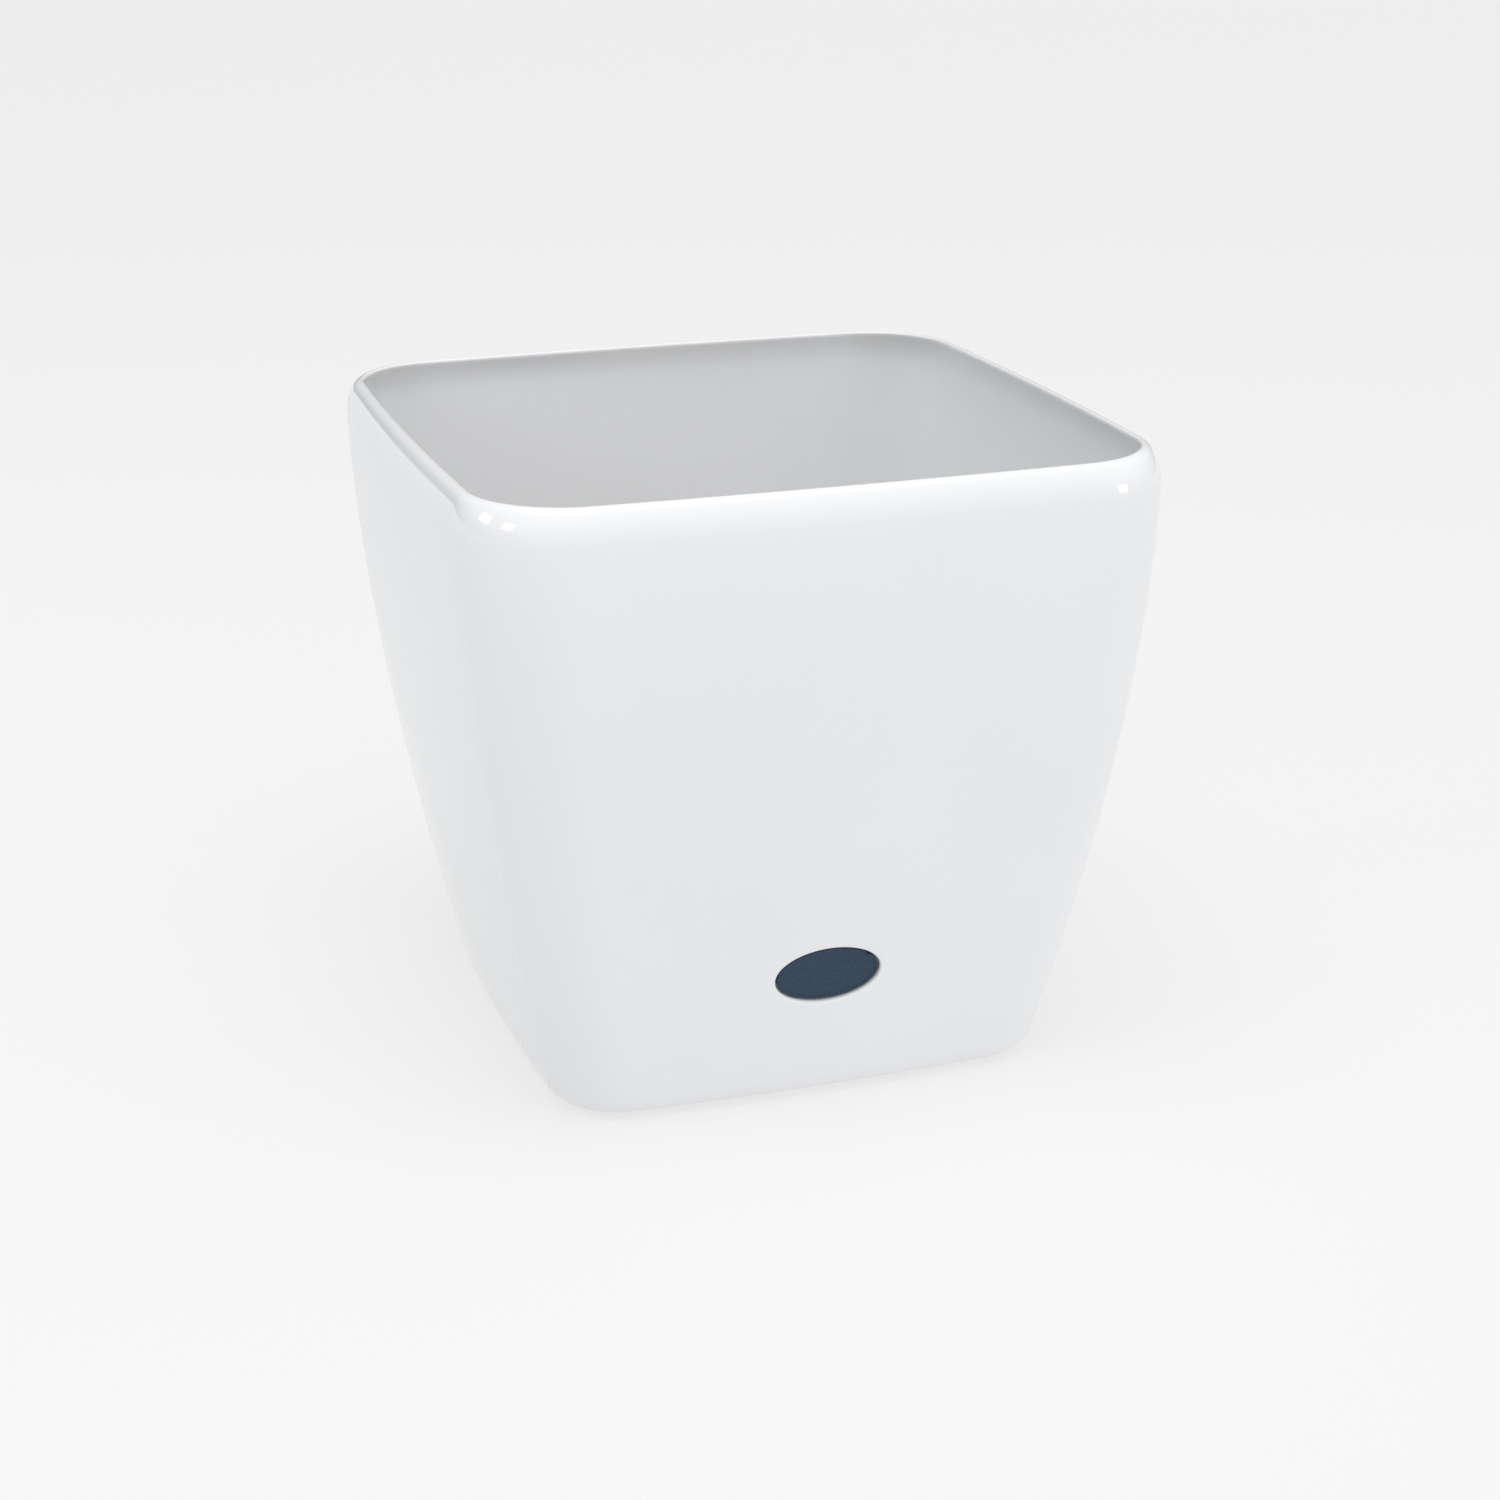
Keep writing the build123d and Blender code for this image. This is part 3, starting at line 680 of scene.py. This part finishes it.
gauge = {                        # in mm; a profile's points are radius and height
    "centre": (-24, -53),
    "ease": 0.3,                 # width of a small rounded edge
    "tube": [
        (4.7, 50.3), (5.0, 50.0), (5.7, 50.0), (6.0, 50.3), (6.0, 56.0), (7.8, 56.0), (8.0, 56.2),
        (8.0, 57.7), (7.7, 58.0), (6.3, 58.0), (6.0, 58.3), (6.0, 132.7), (5.7, 133.0),
        (5.0, 133.0), (4.7, 132.7),
    ],
    "float": {"radius": 10.2, "low": 10.5, "high": 26.5, "round": 1.5, "bore": 1.53, "boreLow": 14.5},
    "rod": [(0, 14.5), (1.3, 14.5), (1.5, 14.7), (1.5, 141.8), (1.3, 142.0), (0, 142.0)],
    "tip": {"radius": 4.0, "low": 138.5, "centre": 141.5, "bore": 1.53, "boreHigh": 142.0},
    "cap": {
        "radius": 6.5, "inner": 5.2, "low": 136.2, "centre": 159.5,
        "flange": 8.5, "flangeZ": (146.0, 147.4), "flangeEase": 0.2,
    },
    "marks": {
        "inner": 4.36, "outer": 4.56, "low": 140.5, "gap": 3.0, "count": 6, "thick": 0.5,
        "short": 20, "long": 42, # how far a mark reaches to each side, in degrees
        "steps": 12,
    },
}


def makeFloat(size):
    r, low, high, rounding = size["radius"], size["low"], size["high"], size["round"]
    bore, ease = size["bore"], gauge["ease"]
    profile = [(0, low)] + arc((r - rounding, low + rounding), rounding, -90, 0, 6)
    profile += arc((r - rounding, high - rounding), rounding, 0, 90, 6)
    profile += [(bore + ease, high), (bore, high - ease), (bore, size["boreLow"]), (0, size["boreLow"])]
    spunPiece("gaugeFloat", "float_foam", "float", "gauge_float", profile, gauge["centre"])


def makeTip(size):
    r, low, middle, ease = size["radius"], size["low"], size["centre"], gauge["ease"]
    bore, deep = size["bore"], size["boreHigh"]
    profile = [(0, deep), (bore, deep), (bore, low), (r - ease, low), (r, low + ease)]
    profile += arc((0, middle), r, 0, 90, 10)[:-1] + [(0, middle + r)]
    spunPiece("gaugeTip", "tip_red", "float", "gauge_tip", profile, gauge["centre"])


def makeCap(size):
    r, inner, low, middle = size["radius"], size["inner"], size["low"], size["centre"]
    flange, (seatZ, top) = size["flange"], size["flangeZ"]
    ease, small = gauge["ease"], size["flangeEase"]
    profile = [(0, middle + inner)] + arc((0, middle), inner, 90, 0, 12)[1:]
    profile += [(inner, low + ease), (inner + ease, low), (r - ease, low), (r, low + ease), (r, seatZ)]
    profile += [(flange - small, seatZ), (flange, seatZ + small)]
    profile += [(flange, top - ease), (flange - ease, top)]
    profile += [(r + ease, top), (r, top + ease)]
    profile += arc((0, middle), r, 0, 90, 12)[:-1] + [(0, middle + r)]
    spunPiece("sightCap", "sight_clear", "insert", "sight_cap", profile, gauge["centre"])


def makeMarks(size):             # raised level marks on the front of the scale strip
    bm = bmesh.new()
    x, y = gauge["centre"]
    for number in range(size["count"]):
        reach = size["short"] if number % 2 else size["long"]
        low = size["low"] + number * size["gap"]
        corners = [(size["inner"], low), (size["inner"], low + size["thick"])]
        corners += [(size["outer"], low + size["thick"]), (size["outer"], low)]
        loops = []
        for step in range(size["steps"] + 1):
            angle = math.radians(90 - reach + 2 * reach * step / size["steps"])
            c, s = math.cos(angle), math.sin(angle)
            places = [Vector((x + r * c, y + r * s, z)) * mm for r, z in corners]
            loops.append([bm.verts.new(place) for place in places])
        for one, two in zip(loops, loops[1:]):
            for k in range(4):
                bm.faces.new((one[k - 1], one[k], two[k], two[k - 1]))
        bm.faces.new(loops[0])
        bm.faces.new(loops[-1])
    bmesh.ops.recalc_face_normals(bm, faces=bm.faces)
    finishPiece(bm, "levelMarks", "scale_white", "insert")


spunPiece("gaugeTube", "shaft_pale", "insert", "gauge_tube", gauge["tube"], gauge["centre"], closed=True)
spunPiece("gaugeRod", "rod_white", "float", "gauge_rod", gauge["rod"], gauge["centre"], steps=32)
makeFloat(gauge["float"])
makeTip(gauge["tip"])
makeCap(gauge["cap"])
makeMarks(gauge["marks"])
print("gauge made")

easing = {
    "flatAngle": 0.4,            # faces within this angle become one, in degrees
    "sharpAngle": 35,            # an edge is eased above this
    "tinyEdge": 1e-7,
    "segments": 2,
}

eased = {                        # CAD node: piece name, width of its eased edges in mm
    "separator_tray": ("separatorTray", 0.22),
    "wick_cup": ("wickCup", 0.2),
    "fill_tube": ("fillTube", 0.22),
    "shaft_head": ("shaftHead", 0.18),
    "filler_lid": ("fillerLid", 0.15),
    "float_cage": ("floatCage", 0.15),
    "support_leg_front_right": ("supportLegFrontRight", 0.25),
    "support_leg_back_left": ("supportLegBackLeft", 0.25),
    "support_leg_back_right": ("supportLegBackRight", 0.25),
}


def easeEdges(node, name, width):
    bm = bmesh.new()
    bm.from_mesh(frame["nodes"][node].data)
    bmesh.ops.remove_doubles(bm, verts=bm.verts, dist=weldDistance)
    flat, sharp = math.radians(easing["flatAngle"]), math.radians(easing["sharpAngle"])
    bmesh.ops.dissolve_limit(bm, angle_limit=flat, verts=bm.verts, edges=bm.edges)
    bmesh.ops.dissolve_degenerate(bm, dist=easing["tinyEdge"], edges=bm.edges)
    closed = all(edge.is_manifold for edge in bm.edges)
    edges = [edge for edge in bm.edges if edge.is_manifold and edge.calc_face_angle() > sharp]
    bmesh.ops.bevel(
        bm, geom=edges, offset=width * mm, offset_type="OFFSET", segments=easing["segments"],
        profile=0.5, affect="EDGES", clamp_overlap=True, material=-1,
    )
    if not closed or not all(edge.is_manifold for edge in bm.edges):
        print("left as the CAD has it:", node)
        bm.free()
        return
    piece = finishPiece(bm, name, nodeSlots[node], nodeBodies[node], [node], 50)
    even = piece.modifiers.new("evenShading", "WEIGHTED_NORMAL")
    even.keep_sharp = True


for node, (name, width) in eased.items():
    easeEdges(node, name, width)
print("insert pieces made")

stage = {
    "floorSize": 14.0,
    "floorColor": (0.27, 0.27, 0.272),
    "floorGlow": 0.61,
    "worldColor": (0.985, 0.99, 1.0),
    "brightSide": (0.15, -0.3, 0.5),         # brightest overhead and in front, dimmer on the left
    "fadeFrom": -0.35,
    "fadeTo": 0.6,
    "roomDim": 0.02,
    "roomBright": 1.19,
    "lights": [                  # name, place, aim, width, height, power, color
        ("overhead", (-0.2, -0.3, 1.4), (0.0, 0.0, 0.12), 0.9, 0.7, 5.6, (1.0, 0.985, 0.96)),
        ("squareFront", (-1.30, -0.44, 0.78), (-0.09, -0.09, 0.175), 0.30, 0.30, 1.4, (0.90, 0.96, 1.0)),
        ("squareLeft", (-1.32, 0.24, 0.77), (-0.09, -0.09, 0.175), 0.32, 0.32, 1.4, (0.90, 0.96, 1.0)),
        ("squareRight", (1.20, -0.93, 0.24), (0.09, -0.09, 0.175), 0.28, 0.28, 1.5, (0.94, 0.98, 1.0)),
    ],
}


def addFloor(settings):
    bm = bmesh.new()
    bmesh.ops.create_grid(bm, x_segments=2, y_segments=2, size=settings["floorSize"] / 2)
    mesh = bpy.data.meshes.new("studioFloor")
    bm.to_mesh(mesh)
    bm.free()
    floor = bpy.data.objects.new("studioFloor", mesh)
    scene.collection.objects.link(floor)
    material, shader = startMaterial("studioFloor")[:2]
    shader.inputs["Base Color"].default_value = (*settings["floorColor"], 1)
    shader.inputs["Roughness"].default_value = 0.9
    shader.inputs["Specular IOR Level"].default_value = 0.1
    shader.inputs["Emission Color"].default_value = (1, 1, 1, 1)
    shader.inputs["Emission Strength"].default_value = settings["floorGlow"]
    mesh.materials.append(material)


def addLights(settings):
    world = bpy.data.worlds.new("studio")
    world.use_nodes = True
    nodes, links = world.node_tree.nodes, world.node_tree.links
    background = nodes["Background"]
    background.inputs["Color"].default_value = (*settings["worldColor"], 1)
    facing = nodes.new("ShaderNodeTexCoord")
    toward = nodes.new("ShaderNodeVectorMath")
    toward.operation = "DOT_PRODUCT"
    toward.inputs[1].default_value = settings["brightSide"]
    ranged = nodes.new("ShaderNodeMapRange")
    ranged.inputs["From Min"].default_value = settings["fadeFrom"]
    ranged.inputs["From Max"].default_value = settings["fadeTo"]
    ranged.inputs["To Min"].default_value = settings["roomDim"]
    ranged.inputs["To Max"].default_value = settings["roomBright"]
    links.new(facing.outputs["Generated"], toward.inputs[0])
    links.new(toward.outputs["Value"], ranged.inputs["Value"])
    links.new(ranged.outputs["Result"], background.inputs["Strength"])
    scene.world = world
    for name, place, aim, width, height, power, color in settings["lights"]:
        data = bpy.data.lights.new(name, "AREA")
        data.shape = "RECTANGLE"
        data.size, data.size_y = width, height
        data.energy = power
        data.color = color
        lamp = bpy.data.objects.new(name, data)
        scene.collection.objects.link(lamp)
        lamp.location = place
        lamp.rotation_euler = (Vector(place) - Vector(aim)).to_track_quat("Z", "Y").to_euler()


addFloor(stage)
addLights(stage)
scene.view_settings.view_transform = "Standard"
print("floor and lights placed")
